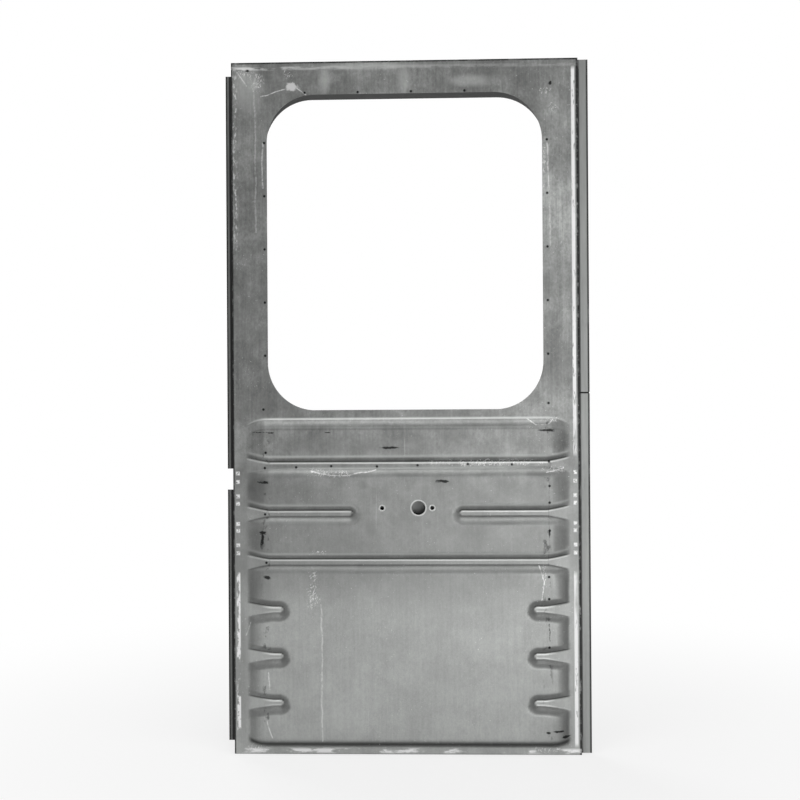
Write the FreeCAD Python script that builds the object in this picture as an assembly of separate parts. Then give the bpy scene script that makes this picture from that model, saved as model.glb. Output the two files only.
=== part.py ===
"""Rear door of a panel van: a bare pressed-steel shell, with no glass, lock, hinges or rubber fitted.

Frame: +Z up, outer face towards -Y, hinge side at low X. The origin is on the flat outer face of the
hinge stile's web, at mid-height and at the middle of the frame's depth. Units are millimetres.
"""
import FreeCAD
import Part
import math
import os

V = FreeCAD.Vector

# Overall size of the pressed skin, seen from outside
DOOR_WIDTH = 650.0
DOOR_HEIGHT = 1300.0

# Sheet gauges
SKIN_SHEET = 1.0
FRAME_SHEET = 1.2
LOCK_PLATE_SHEET = 2.0

# Inner frame
FRAME_DEPTH = 38.0
BEND_RADIUS = 2.5
HEM_WIDTH = 10.0
STILE_WIDTH = 44.0
RAIL_WIDTH = 45.0
INNER_FLANGE = 16.0
STILE_NOTCH = 20.0
CORNER_RELIEF = 4.0
RAIL_LIP = 12.0

# Window aperture, measured from the skin's edges and from mid-height
WINDOW_SIDE_MARGIN = 67.0
WINDOW_TOP_MARGIN = 62.0
WINDOW_BOTTOM_Z = -5.0
WINDOW_CORNER = 90.0
SURROUND_FLANGE = 16.0
SURROUND_CORNER = 24.0
SURROUND_SIDE_FLARE = 8.0

# Raised lower field of the skin
FIELD_RISE = 10.0
FIELD_TOP_Z = -20.7
FIELD_LEFT_BORDER = 30.0
FIELD_RIGHT_BORDER = 24.0
FIELD_BOTTOM_BORDER = 15.0
FIELD_SIDE_RUN = 30.0
FIELD_TOP_RUN = 19.0
FIELD_BOTTOM_RUN = 12.0
FIELD_CORNER = 20.0
CREST_CORNER = 10.0
CREST_RADIUS = 12.0

# Grooves pressed back to the level of the border
GROOVE_FLOOR = 10.6
GROOVE_RUN = 14.0
GROOVE_MOUTH = 31.0
FIRST_GROOVE_Z = -108.0
GROOVE_PITCH = 91.0
HALF_GROOVE_SPACE = 212.0
FIRST_FINGER_Z = -379.0
FINGER_PITCH = 87.3
FINGER_COUNT = 3
FINGER_REACH = 57.0
FINGER_MOUTH = 26.0
FINGER_TAPER = 44.0

# Lock holes
LOCK_Z = -188.0
LOCK_OFFSET = 23.5
SPINDLE_RADIUS = 13.0
SCREW_RADIUS = 3.9
SCREW_NEAR = 25.7
SCREW_SPACING = 93.5
LOCK_PLATE_MARGIN = 24.0
LOCK_PLATE_HEIGHT = 60.0
LOCK_PLATE_CORNER = 8.0

# Waist rail behind the first groove
WAIST_LAP = 9.0
WAIST_FLANGE = 20.0

# Inner panel with its access opening
PANEL_LAP = 20.0
PANEL_TOP_GAP = 4.0
PANEL_CORNER = 12.0
ACCESS_WIDTH = 330.0
ACCESS_HEIGHT = 190.0
ACCESS_Z = -400.0
ACCESS_CORNER = 40.0

# Seal strips behind the hinge edge
SEAL_REACH = 17.0
SEAL_LAP = 18.0
SEAL_END_Z = 635.0
SEAL_GAP_Z = -136.0
SEAL_GAP = 40.0

# Lips along the lock edge that lie over the other door
LIP_REACH = 19.5
LIP_SETBACK = 8.0
LIP_LEG = 20.0
LIP_HEM = 8.0
LIP_BUTT_Z = 25.0
LIP_BUTT_GAP = 3.0
LIP_END_INSET = 2.0

# Room that cutting tools run past the sheet
OVERRUN = 2.0

# Places that follow from the sizes above
HALF_HEIGHT = DOOR_HEIGHT / 2
FRAME_FRONT = -FRAME_DEPTH / 2
FRAME_REAR = FRAME_DEPTH / 2
BORDER_FRONT = FRAME_FRONT - SKIN_SHEET
FIELD_FRONT = BORDER_FRONT - FIELD_RISE
HEM_REAR = FRAME_FRONT + FRAME_SHEET + SKIN_SHEET
EDGE_TO_WEB = SKIN_SHEET + HEM_WIDTH
SKIN_LEFT = -EDGE_TO_WEB
SKIN_RIGHT = SKIN_LEFT + DOOR_WIDTH
FRAME_WIDTH = DOOR_WIDTH - 2 * EDGE_TO_WEB
WEB_Z = HALF_HEIGHT - EDGE_TO_WEB
MIDDLE_X = FRAME_WIDTH / 2
WINDOW_LEFT = SKIN_LEFT + WINDOW_SIDE_MARGIN
WINDOW_RIGHT = SKIN_RIGHT - WINDOW_SIDE_MARGIN
WINDOW_TOP_Z = HALF_HEIGHT - WINDOW_TOP_MARGIN
FIELD_LEFT = SKIN_LEFT + FIELD_LEFT_BORDER
FIELD_RIGHT = SKIN_RIGHT - FIELD_RIGHT_BORDER
FIELD_BOTTOM_Z = FIELD_BOTTOM_BORDER - HALF_HEIGHT
SURROUND_REAR = FRAME_REAR + FRAME_SHEET
SURROUND_BOTTOM_Z = WINDOW_BOTTOM_Z - SURROUND_FLANGE
SPINDLE_X = MIDDLE_X + LOCK_OFFSET
SCREW_RIGHT_X = SPINDLE_X + SCREW_NEAR
SCREW_LEFT_X = SCREW_RIGHT_X - SCREW_SPACING


def block(low, high):
    """Box between two opposite corners."""
    size = [b - a for a, b in zip(low, high)]
    return Part.makeBox(*size, V(*low))


def fused(first, *others):
    """One solid from pieces of the same sheet."""
    return first.fuse(list(others)).removeSplitter()


def polyhedron(front, rear):
    """Solid with flat faces between two outlines that have matching corners."""
    count = len(front)
    loops = [front, rear]
    for i in range(count):
        j = (i + 1) % count
        loops.append([front[i], front[j], rear[j], rear[i]])
    faces = [Part.Face(Part.makePolygon(loop + loop[:1])) for loop in loops]
    solid = Part.Solid(Part.Shell(faces))
    if solid.Volume < 0:
        solid.reverse()
    return solid


def outline(points, y):
    """Corners given as (x, z), set at one depth."""
    return [V(x, y, z) for x, z in points]


def round_rectangle(left, right, bottom, top, radius, y):
    """Closed wire of a rectangle with round corners in a plane of constant depth."""
    corners = [(right, top), (left, top), (left, bottom), (right, bottom)]
    edges = []
    ends = []
    for step, (x, z) in enumerate(corners):
        sign_x = 1 if x == right else -1
        sign_z = 1 if z == top else -1
        middle = V(x - sign_x * radius, y, z - sign_z * radius)
        start_angle = step * math.pi / 2
        spots = []
        for share in (0, 1, 2):
            angle = start_angle + share * math.pi / 4
            spots.append(middle + V(math.cos(angle), 0, math.sin(angle)) * radius)
        ends.append(spots)
    for step, spots in enumerate(ends):
        edges.append(Part.Arc(*spots).toShape())
        following = ends[(step + 1) % len(ends)]
        edges.append(Part.LineSegment(spots[2], following[0]).toShape())
    return Part.Wire(edges)


def plate(wire, depth):
    """Flat plate from a closed wire, reaching back from it."""
    return Part.Face(wire).extrude(V(0, depth, 0))


def sideways(direction):
    """Direction turned a quarter turn to its left in the plane of a section."""
    return V(-direction.y, direction.x, 0)


def strip_side(points, shift, radius):
    """Corner-rounded path, moved sideways by shift; points are (along, across) pairs."""
    path = [V(along, across, 0) for along, across in points]
    runs = [(after - before).normalize() for before, after in zip(path, path[1:])]
    pieces = []
    last = path[0] + sideways(runs[0]) * shift
    for corner, into, away in zip(path[1:-1], runs, runs[1:]):
        turn = into.getAngle(away)
        reach = radius * math.tan(turn / 2)
        start = corner - into * reach + sideways(into) * shift
        finish = corner + away * reach + sideways(away) * shift
        bisector = (away - into).normalize()
        middle = corner + bisector * (radius / math.cos(turn / 2))
        own_radius = radius - math.copysign(shift, sideways(into) * away * shift)
        pieces.append((last, start))
        pieces.append((start, middle - bisector * own_radius, finish))
        last = finish
    pieces.append((last, path[-1] + sideways(runs[-1]) * shift))
    return pieces


def bent_strip(points, place, sheet=FRAME_SHEET, radius=BEND_RADIUS):
    """Face of a sheet bent along a middle line; place turns each pair into a point in space."""
    left = strip_side(points, sheet / 2, radius)
    right = strip_side(points, -sheet / 2, radius)
    edges = []
    for piece in left + right:
        spots = [place(spot.x, spot.y) for spot in piece]
        line = Part.Arc(*spots) if len(spots) == 3 else Part.LineSegment(*spots)
        edges.append(line.toShape())
    for end in (0, -1):
        spot = 0 if end == 0 else -1
        cap = [place(side[end][spot].x, side[end][spot].y) for side in (left, right)]
        edges.append(Part.LineSegment(*cap).toShape())
    return Part.Face(Part.Wire(Part.__sortEdges__(edges)))


def upright(points, low_z, high_z):
    """Bent sheet of constant section in plan, running up the door."""
    face = bent_strip(points, lambda x, y: V(x, y, low_z))
    return face.extrude(V(0, 0, high_z - low_z))


def crosswise(points, low_x, high_x):
    """Bent sheet of constant section seen from the side, running across the door."""
    face = bent_strip(points, lambda z, y: V(low_x, y, z))
    return face.extrude(V(high_x - low_x, 0, 0))


def mirrored(shape):
    """Copy on the other side of the door's middle."""
    return shape.mirror(V(MIDDLE_X, 0, 0), V(1, 0, 0))


def groove_outline(center_z, stations, extra):
    """Closed outline through (x, half-width) stations, widened by extra."""
    upper = [(x, center_z + half + extra) for x, half in stations]
    lower = [(x, center_z - half - extra) for x, half in reversed(stations)]
    return upper + lower


def groove_tool(center_z, stations):
    """Cutter with sloping sides, open to the front, whose floor lies at the border's level."""
    deep = FIELD_RISE + OVERRUN
    spread = GROOVE_RUN * deep / FIELD_RISE
    floor = outline(groove_outline(center_z, stations, 0), BORDER_FRONT)
    mouth = outline(groove_outline(center_z, stations, spread), BORDER_FRONT - deep)
    return polyhedron(floor, mouth)


def mouth_stations(side, mouth=GROOVE_MOUTH, taper=FIELD_SIDE_RUN):
    """Half-widths where a groove runs out through one side of the field, narrowing inwards over the taper."""
    crease = FIELD_LEFT if side > 0 else FIELD_RIGHT
    outside = crease - side * 2 * FIELD_SIDE_RUN
    neck = crease + side * taper
    return [(outside, mouth / 2), (crease, mouth / 2), (neck, GROOVE_FLOOR / 2)]


def full_groove(center_z):
    """Groove across the whole field, flared at both ends."""
    return groove_tool(center_z, mouth_stations(1) + mouth_stations(-1)[::-1])


def blind_groove(center_z, tip_x, mouth):
    """Groove from its mouth in one side of the field to a round tip about tip_x."""
    body = groove_tool(center_z, mouth + [(tip_x, GROOVE_FLOOR / 2)])
    deep = FIELD_RISE + OVERRUN
    floor_radius = GROOVE_FLOOR / 2
    mouth_radius = floor_radius + GROOVE_RUN * deep / FIELD_RISE
    tip = Part.makeCone(floor_radius, mouth_radius, deep, V(tip_x, BORDER_FRONT, center_z), V(0, -1, 0))
    return fused(body, tip)


def groove_tools():
    """Every groove of the field."""
    tools = [full_groove(FIRST_GROOVE_Z), full_groove(FIRST_GROOVE_Z - 2 * GROOVE_PITCH)]
    for side, crease in ((1, FIELD_LEFT), (-1, FIELD_RIGHT)):
        half_tip_x = MIDDLE_X - side * HALF_GROOVE_SPACE / 2
        tools.append(blind_groove(FIRST_GROOVE_Z - GROOVE_PITCH, half_tip_x, mouth_stations(side)))
        finger_mouth = mouth_stations(side, FINGER_MOUTH, FINGER_TAPER)
        for number in range(FINGER_COUNT):
            center_z = FIRST_FINGER_Z - number * FINGER_PITCH
            tools.append(blind_groove(center_z, crease + side * FINGER_REACH, finger_mouth))
    return tools


def raised_field():
    """Pads that stand out in front of the border, rounded along their crests."""
    base = round_rectangle(FIELD_LEFT, FIELD_RIGHT, FIELD_BOTTOM_Z, FIELD_TOP_Z, FIELD_CORNER, BORDER_FRONT)
    left, right = FIELD_LEFT + FIELD_SIDE_RUN, FIELD_RIGHT - FIELD_SIDE_RUN
    bottom, top = FIELD_BOTTOM_Z + FIELD_BOTTOM_RUN, FIELD_TOP_Z - FIELD_TOP_RUN
    crest = round_rectangle(left, right, bottom, top, CREST_CORNER, FIELD_FRONT)
    pads = Part.makeLoft([base, crest], True, True)
    pads = pads.cut(groove_tools()).removeSplitter()
    crests = [edge for edge in pads.Edges if abs(edge.BoundBox.YMax - FIELD_FRONT) < SKIN_SHEET / 2]
    return pads.makeFillet(CREST_RADIUS, crests)


def lock_holes(front, rear):
    """Spindle hole and two screw holes, as round cutters."""
    places = [(SPINDLE_X, SPINDLE_RADIUS), (SCREW_LEFT_X, SCREW_RADIUS), (SCREW_RIGHT_X, SCREW_RADIUS)]
    return [Part.makeCylinder(radius, rear - front, V(x, front, LOCK_Z), V(0, 1, 0)) for x, radius in places]


def window_wire(y):
    """Edge of the window aperture."""
    return round_rectangle(WINDOW_LEFT, WINDOW_RIGHT, WINDOW_BOTTOM_Z, WINDOW_TOP_Z, WINDOW_CORNER, y)


def skin_block(inset, front, rear):
    """Flat slab of the skin's plan, drawn in from its edges by inset."""
    low = (SKIN_LEFT + inset, front, inset - HALF_HEIGHT)
    high = (SKIN_RIGHT - inset, rear, HALF_HEIGHT - inset)
    return block(low, high)


def folded_border():
    """Flat sheet whose edge is folded right round the flange of the frame."""
    sheet = skin_block(0, BORDER_FRONT, HEM_REAR)
    rim = [edge for edge in sheet.Edges if edge.BoundBox.YLength < SKIN_SHEET]
    sheet = sheet.makeFillet(SKIN_SHEET, rim)
    slot = skin_block(SKIN_SHEET, FRAME_FRONT, FRAME_FRONT + FRAME_SHEET)
    inside = skin_block(EDGE_TO_WEB - BEND_RADIUS, FRAME_FRONT, HEM_REAR + OVERRUN)
    return sheet.cut([slot, inside])


def outer_skin():
    """Pressed outer sheet: border, raised field of one thickness, window aperture and lock holes."""
    pads = raised_field()
    back = pads.translated(V(0, SKIN_SHEET, 0))
    hollow = back.common(skin_block(0, FIELD_FRONT - OVERRUN, FRAME_FRONT))
    sheet = folded_border().fuse(pads).cut(hollow)
    cuts = [plate(window_wire(FIELD_FRONT), -FIELD_FRONT)] + lock_holes(FIELD_FRONT - OVERRUN, FRAME_FRONT)
    return sheet.cut(cuts).removeSplitter()


def stile_section(closed):
    """Middle line of a stile in plan: hem flange, web and rear face, then inner web and flange."""
    half = FRAME_SHEET / 2
    front, rear = FRAME_FRONT + half, FRAME_REAR - half
    points = [(-HEM_WIDTH, front), (half, front), (half, rear)]
    if not closed:
        return points + [(STILE_WIDTH, rear)]
    inner = STILE_WIDTH - half
    return points + [(inner, rear), (inner, front), (STILE_WIDTH + INNER_FLANGE, front)]


def hinge_stile():
    """Side member: a closed hat below the window, open beside it where the surround takes over."""
    notch_z = SURROUND_BOTTOM_Z - STILE_NOTCH
    lower = upright(stile_section(True), -WEB_Z, notch_z)
    upper = upright(stile_section(False), notch_z, WEB_Z)
    pieces = [upper]
    for low_z in (WEB_Z, -WEB_Z - HEM_WIDTH):
        corner = (-HEM_WIDTH, FRAME_FRONT, low_z)
        pieces.append(block(corner, (0, FRAME_FRONT + FRAME_SHEET, low_z + HEM_WIDTH)))
    for low_z in (WEB_Z - FRAME_SHEET, -WEB_Z):
        corner = (FRAME_SHEET / 2, FRAME_FRONT, low_z)
        pieces.append(block(corner, (STILE_WIDTH, FRAME_REAR - FRAME_SHEET / 2, low_z + FRAME_SHEET)))
    relief_low = (STILE_WIDTH, FRAME_FRONT, -WEB_Z)
    relief_high = (STILE_WIDTH + INNER_FLANGE, FRAME_FRONT + FRAME_SHEET + BEND_RADIUS, CORNER_RELIEF - WEB_Z)
    return fused(lower, *pieces).cut(block(relief_low, relief_high))


def rail_section(side):
    """Middle line of an end rail seen from the side: hem flange, web, rear face and stiffening lip."""
    half = FRAME_SHEET / 2
    front, rear = FRAME_FRONT + half, FRAME_REAR - half
    inner = WEB_Z - RAIL_WIDTH
    points = [(WEB_Z + HEM_WIDTH, front), (WEB_Z - half, front), (WEB_Z - half, rear), (inner, rear)]
    if side < 0:
        points[-1] = (inner + half, rear)
        points.append((inner + half, rear - RAIL_LIP))
    return [(side * z, y) for z, y in points]


def end_rail(side):
    """Cross member at the top (side 1) or bottom (side -1), between the stiles."""
    rail = crosswise(rail_section(side), STILE_WIDTH, FRAME_WIDTH - STILE_WIDTH)
    levels = sorted((side * WEB_Z, side * (WEB_Z + HEM_WIDTH)))
    low = (0, FRAME_FRONT, levels[0])
    high = (FRAME_WIDTH, FRAME_FRONT + FRAME_SHEET, levels[1])
    return fused(rail, block(low, high))


def waist_rail():
    """Cross member under the window: rear face, web and a flange welded to the first groove's floor."""
    half = FRAME_SHEET / 2
    front, rear = FRAME_FRONT + half, FRAME_REAR - half
    top_z = SURROUND_BOTTOM_Z + WAIST_LAP
    flange_low_z = FIRST_GROOVE_Z - WAIST_FLANGE / 2
    web_z = FIRST_GROOVE_Z + WAIST_FLANGE / 2
    points = [(top_z, rear), (web_z, rear), (web_z, front), (flange_low_z, front)]
    left = STILE_WIDTH + INNER_FLANGE
    rail = crosswise(points, left, FRAME_WIDTH - left)
    sides = [(top_z, rear), (web_z, rear)]
    for low_x, high_x in ((STILE_WIDTH, left), (FRAME_WIDTH - left, FRAME_WIDTH - STILE_WIDTH)):
        rail = rail.fuse(crosswise(sides, low_x, high_x))
    return rail.removeSplitter()


def surround_wires(grow, corner):
    """Front and rear outlines of the window surround; its sides flare out to the rear."""
    wires = []
    for y, flare in ((FRAME_FRONT, 0), (SURROUND_REAR, SURROUND_SIDE_FLARE)):
        left, right = WINDOW_LEFT - grow - flare, WINDOW_RIGHT + grow + flare
        bottom, top = WINDOW_BOTTOM_Z - grow, WINDOW_TOP_Z + grow
        wires.append(round_rectangle(left, right, bottom, top, corner, y))
    return wires


def window_surround():
    """Pressed ring that lines the window: front flange under the skin, wall, rear flange on the frame."""
    inner = surround_wires(0, WINDOW_CORNER)
    outer = surround_wires(FRAME_SHEET, WINDOW_CORNER + FRAME_SHEET)
    front, rear = surround_wires(SURROUND_FLANGE, SURROUND_CORNER)
    ring = Part.makeLoft(outer, True, True)
    ring = ring.fuse([plate(front, FRAME_SHEET), plate(rear, -FRAME_SHEET)])
    opening = Part.makeLoft(inner, True, True)
    return ring.cut(opening).removeSplitter()


def lock_plate():
    """Reinforcement behind the lock holes, flat on the back of the raised field."""
    left = SCREW_LEFT_X - LOCK_PLATE_MARGIN
    right = SCREW_RIGHT_X + LOCK_PLATE_MARGIN
    half = LOCK_PLATE_HEIGHT / 2
    front = FIELD_FRONT + SKIN_SHEET
    wire = round_rectangle(left, right, LOCK_Z - half, LOCK_Z + half, LOCK_PLATE_CORNER, front)
    return plate(wire, LOCK_PLATE_SHEET).cut(lock_holes(front - OVERRUN, front + LOCK_PLATE_SHEET + OVERRUN))


def inner_panel():
    """Closing sheet behind the lower half, lapped on the frame, with one access opening."""
    left = STILE_WIDTH - PANEL_LAP
    bottom = PANEL_LAP + RAIL_LIP - WEB_Z
    top = SURROUND_BOTTOM_Z - PANEL_TOP_GAP
    wire = round_rectangle(left, FRAME_WIDTH - left, bottom, top, PANEL_CORNER, FRAME_REAR)
    low_z = ACCESS_Z - ACCESS_HEIGHT / 2
    access = round_rectangle(MIDDLE_X - ACCESS_WIDTH / 2, MIDDLE_X + ACCESS_WIDTH / 2, low_z,
                             low_z + ACCESS_HEIGHT, ACCESS_CORNER, FRAME_REAR - OVERRUN)
    return plate(wire, FRAME_SHEET).cut(plate(access, FRAME_SHEET + 2 * OVERRUN))


def seal_strip(low_z, high_z):
    """Flat strip on the rear face of the hinge stile that reaches out past the skin's edge."""
    low = (SKIN_LEFT - SEAL_REACH, FRAME_REAR, low_z)
    return block(low, (SEAL_LAP, FRAME_REAR + FRAME_SHEET, high_z))


def overlap_lip(low_z, high_z):
    """Angle on the lock stile's web; its outer edge is folded back on itself."""
    half = FRAME_SHEET / 2
    front = BORDER_FRONT + LIP_SETBACK + half
    leg_x = FRAME_WIDTH + half
    tip_x = SKIN_RIGHT + LIP_REACH - half
    points = [(leg_x, front + LIP_LEG), (leg_x, front), (tip_x, front)]
    angle = upright(points, low_z, high_z)
    hem_front = front - half
    fold = block((tip_x - LIP_HEM, hem_front, low_z), (tip_x + half, hem_front + 2 * FRAME_SHEET, high_z))
    rim = [edge for edge in fold.Edges
           if edge.BoundBox.ZLength > LIP_HEM and edge.BoundBox.XMin > tip_x]
    fold = fold.makeFillet(half, rim)
    return fused(angle, fold)


def parts():
    """Every node of the door by name."""
    gap_low, gap_high = SEAL_GAP_Z - SEAL_GAP / 2, SEAL_GAP_Z + SEAL_GAP / 2
    butt_low, butt_high = LIP_BUTT_Z - LIP_BUTT_GAP / 2, LIP_BUTT_Z + LIP_BUTT_GAP / 2
    lip_end = HALF_HEIGHT - LIP_END_INSET
    stile = hinge_stile()
    return {
        "outer_skin": outer_skin(),
        "hinge_stile": stile,
        "lock_stile": mirrored(stile),
        "top_rail": end_rail(1),
        "bottom_rail": end_rail(-1),
        "waist_rail": waist_rail(),
        "window_surround": window_surround(),
        "lock_plate": lock_plate(),
        "inner_panel": inner_panel(),
        "hinge_seal_strip_upper": seal_strip(gap_high, SEAL_END_Z),
        "hinge_seal_strip_lower": seal_strip(-SEAL_END_Z, gap_low),
        "overlap_lip_upper": overlap_lip(butt_high, lip_end),
        "overlap_lip_lower": overlap_lip(-lip_end, butt_low),
    }


os.makedirs("parts", exist_ok=True)
for name, shape in parts().items():
    solid = shape.Solids[0] if len(shape.Solids) == 1 else shape
    print(name, "valid" if solid.isValid() else "INVALID", len(shape.Solids), round(solid.Volume / 1000, 1), "cm3")
    solid.exportStep("parts/" + name + ".step")
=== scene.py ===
"""Looks of the bare van rear door: pressed skin as a fine mesh, worn grey steel, studio and camera."""
import math

import bpy
import numpy as np
from mathutils import Euler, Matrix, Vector


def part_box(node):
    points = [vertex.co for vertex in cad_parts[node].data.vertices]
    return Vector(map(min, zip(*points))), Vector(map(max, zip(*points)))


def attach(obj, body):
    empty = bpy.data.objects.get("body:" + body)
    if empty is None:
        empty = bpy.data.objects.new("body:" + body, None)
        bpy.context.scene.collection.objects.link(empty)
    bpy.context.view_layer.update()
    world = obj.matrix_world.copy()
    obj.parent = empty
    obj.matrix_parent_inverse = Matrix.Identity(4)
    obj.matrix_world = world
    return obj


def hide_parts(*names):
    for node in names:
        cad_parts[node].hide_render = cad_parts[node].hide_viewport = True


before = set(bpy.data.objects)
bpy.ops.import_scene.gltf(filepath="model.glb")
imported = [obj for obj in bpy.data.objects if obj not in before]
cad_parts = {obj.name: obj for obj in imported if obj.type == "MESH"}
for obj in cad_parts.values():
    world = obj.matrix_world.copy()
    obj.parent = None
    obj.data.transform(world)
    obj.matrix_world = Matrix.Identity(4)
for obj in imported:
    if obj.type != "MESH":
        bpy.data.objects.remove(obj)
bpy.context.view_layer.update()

# Lengths below are millimetres in the door's own frame, and the meshes are metres
MM = 0.001
SKIN_LOW, SKIN_HIGH = (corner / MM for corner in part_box("outer_skin"))
LEFT, RIGHT = SKIN_LOW.x, SKIN_HIGH.x
BOTTOM, TOP = SKIN_LOW.z, SKIN_HIGH.z
MIDDLE = (LEFT + RIGHT) / 2
SHEET = 1.0
FIELD_RISE = 10.0
BORDER_FRONT = SKIN_LOW.y + FIELD_RISE

# Folded edge
HEM_REAR = SKIN_HIGH.y
HEM_RADIUS = (HEM_REAR - BORDER_FRONT) / 2
HEM_RETURN = 8.5
HEM_STEPS = 6

# Window aperture
WINDOW_LEFT, WINDOW_RIGHT = LEFT + 67.0, RIGHT - 67.0
WINDOW_BOTTOM, WINDOW_TOP = -5.0, TOP - 62.0
WINDOW_CORNER = 90.0
WINDOW_RINGS = 5
WINDOW_JOIN = -18.0

# Raised field
FIELD_LEFT, FIELD_RIGHT = LEFT + 24.5, RIGHT - 18.5
FIELD_TOP, FIELD_BOTTOM = -21.5, BOTTOM + 15.0
SIDE_RUN, TOP_RUN, BOTTOM_RUN = 40.0, 19.0, 13.0
SHARP_INSET, SHARP_RUN = 4.0, 30.0
SOFT_FROM, SOFT_TO = -350.0, -290.0
END_BEND, TOP_DROP, BOTTOM_LIFT = 40.0, 12.0, 9.0
SIDE_BLEND = 0.1
FLOOR_BLEND = 0.07

# Grooves: centre heights, floor width, flank run and the flare where they leave the field
FULL_GROOVES = (-108.0, -290.0)
HALF_GROOVE = -199.0
HALF_GROOVE_SPACE = 212.0
FINGERS = tuple(-379.0 - 87.3 * number for number in range(3))
FINGER_REACH = 62.5
FLOOR_HALF = 5.3
MOUTH_HALF = 14.5
MOUTH_TAPER = 44.0
FLARE_POWER = 1.2
FLARE_LIMIT = 1.4
FINGER_MOUTH_HALF = 13.5
FINGER_TAPER = 49.5
GROOVE_RUN = 13.0
LOWER_RUN = 16.0
WALL_SLOPE = 1.35
CREST_BLEND, CREST_LEAST = 0.6, 0.02
WAVE_SLOW, WAVE_QUICK = 0.32, 0.12

# Lock holes as (x, radius, half width of the patch around it)
LOCK_Z = -188.0
SPINDLE_X = MIDDLE + 23.5
LOCK_HOLES = ((SPINDLE_X, 13.0, 19.0), (SPINDLE_X + 25.7, 3.9, 6.0), (SPINDLE_X - 67.8, 3.9, 6.0))
HOLE_RINGS = 4

# Mesh spacing, and how far the fine zones reach in from the sides and out from each form
FINE_X, COARSE_X = 3.4, 13.0
FINE_Z, COARSE_Z = 1.7, 9.0
SIDE_STEP = 12.0
FINE_LEFT, FINE_RIGHT = 118.0, 112.0
TIP_MARGIN, GROOVE_MARGIN = 24.0, 25.0
TOP_MARGIN, BOTTOM_MARGIN = 5.0, 6.0
SMOOTH_ANGLE = math.radians(50)


def smooth_min(a, b, blend):
    """Lower of two heights with a rounded change-over."""
    return np.minimum(a, b) - np.maximum(blend - np.abs(a - b), 0) ** 2 / (4 * blend)


def floor_at_zero(a, blend):
    """Height that runs out smoothly on the level of the border."""
    return np.maximum(a, 0) + np.maximum(blend - np.abs(a), 0) ** 2 / (4 * blend)


def pillow(distance, run):
    """Share of the full rise at a distance inside a crease: steep at the crease, flat at the crest."""
    share = np.clip(distance / run, 0, 1)
    return 1 - (1 - share) ** 2


def swell(distance, run):
    """Share of the full rise on a side that starts and ends softly."""
    share = np.clip(distance / run, 0, 1)
    return share * share * (3 - 2 * share)


def from_sides(x):
    """Distance inside the nearer side of the field."""
    return np.minimum(x - FIELD_LEFT, FIELD_RIGHT - x)


def side_share(distance, z):
    """Share of the full rise on the field's sides: a sharp crease low down, a soft one higher up."""
    soft = np.clip((z - SOFT_FROM) / (SOFT_TO - SOFT_FROM), 0, 1)
    return soft * swell(distance, SIDE_RUN) + (1 - soft) * pillow(distance - SHARP_INSET, SHARP_RUN)


def floor_half_width(x, mouth, run):
    """Half-width of a groove's floor, flared over a run towards the sides of the field."""
    flare = np.clip(1 - from_sides(x) / run, 0, FLARE_LIMIT)
    return FLOOR_HALF + (mouth - FLOOR_HALF) * flare ** FLARE_POWER


def outside_floor(x, z, center, tip=None, side=0, mouth=MOUTH_HALF, run=MOUTH_TAPER):
    """Distance outside a groove's floor, shortened on the gentler lower flank, about a round tip if blind."""
    across = np.abs(z - center)
    if tip is not None:
        across = np.hypot(across, np.maximum((x - tip) * side, 0))
    outside = across - floor_half_width(x, mouth, run)
    below = np.clip((center - z) / FLOOR_HALF, 0, 1)
    return np.where(outside > 0, outside * (1 - (1 - GROOVE_RUN / LOWER_RUN) * below), outside)


def grooves(x, z):
    """Centre height and distance outside the floor of every groove of the field."""
    for center in FULL_GROOVES:
        yield center, outside_floor(x, z, center)
    for side, crease in ((1, FIELD_LEFT), (-1, FIELD_RIGHT)):
        yield HALF_GROOVE, outside_floor(x, z, HALF_GROOVE, MIDDLE - side * HALF_GROOVE_SPACE / 2, side)
        for center in FINGERS:
            tip = crease + side * FINGER_REACH
            yield center, outside_floor(x, z, center, tip, side, FINGER_MOUTH_HALF, FINGER_TAPER)


def groove_wall(outside):
    """Height of a groove's flank as a share of the full rise, running on past the crest."""
    return floor_at_zero(WALL_SLOPE * outside / GROOVE_RUN, FLOOR_BLEND)


def waviness(x, z):
    """Slight unevenness of a large pressed panel, fading out at the border."""
    slow = np.sin(x / 97 + 1.3) * np.sin(z / 121 + 0.4) + 0.6 * np.sin(x / 43 + z / 71)
    return WAVE_SLOW * slow + WAVE_QUICK * np.sin(x / 23 - 0.7) * np.sin(z / 31 + 2.1)


def end_creases(x):
    """Heights of the field's bottom and top creases, which curve inwards towards its sides."""
    curve = np.clip(1 - from_sides(x) / END_BEND, 0, 1) ** 2
    return FIELD_BOTTOM + BOTTOM_LIFT * curve, FIELD_TOP - TOP_DROP * curve


def rise_at(x, z):
    """How far the skin stands out in front of its border."""
    bottom, top = end_creases(x)
    sides = smooth_min(side_share(x - FIELD_LEFT, z), side_share(FIELD_RIGHT - x, z), SIDE_BLEND)
    ends = smooth_min(pillow(top - z, TOP_RUN), pillow(z - bottom, BOTTOM_RUN), SIDE_BLEND)
    share = np.maximum(sides, 0) * np.maximum(ends, 0)
    for _, outside in grooves(x, z):
        share = smooth_min(share, groove_wall(outside), CREST_BLEND * share + CREST_LEAST)
        share = np.maximum(share, 0)
    rise = FIELD_RISE * share
    return rise + waviness(x, z) * np.clip(rise / FIELD_RISE, 0, 1) ** 2


def ridge(distance, width):
    """One on a line, fading out over about its width."""
    return np.exp(-(distance / width) ** 2)


def shelf(distance, low, high, soft):
    """One between low and high, with soft ends."""
    return swell(distance - low + soft, 2 * soft) * swell(high + soft - distance, 2 * soft)


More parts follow.
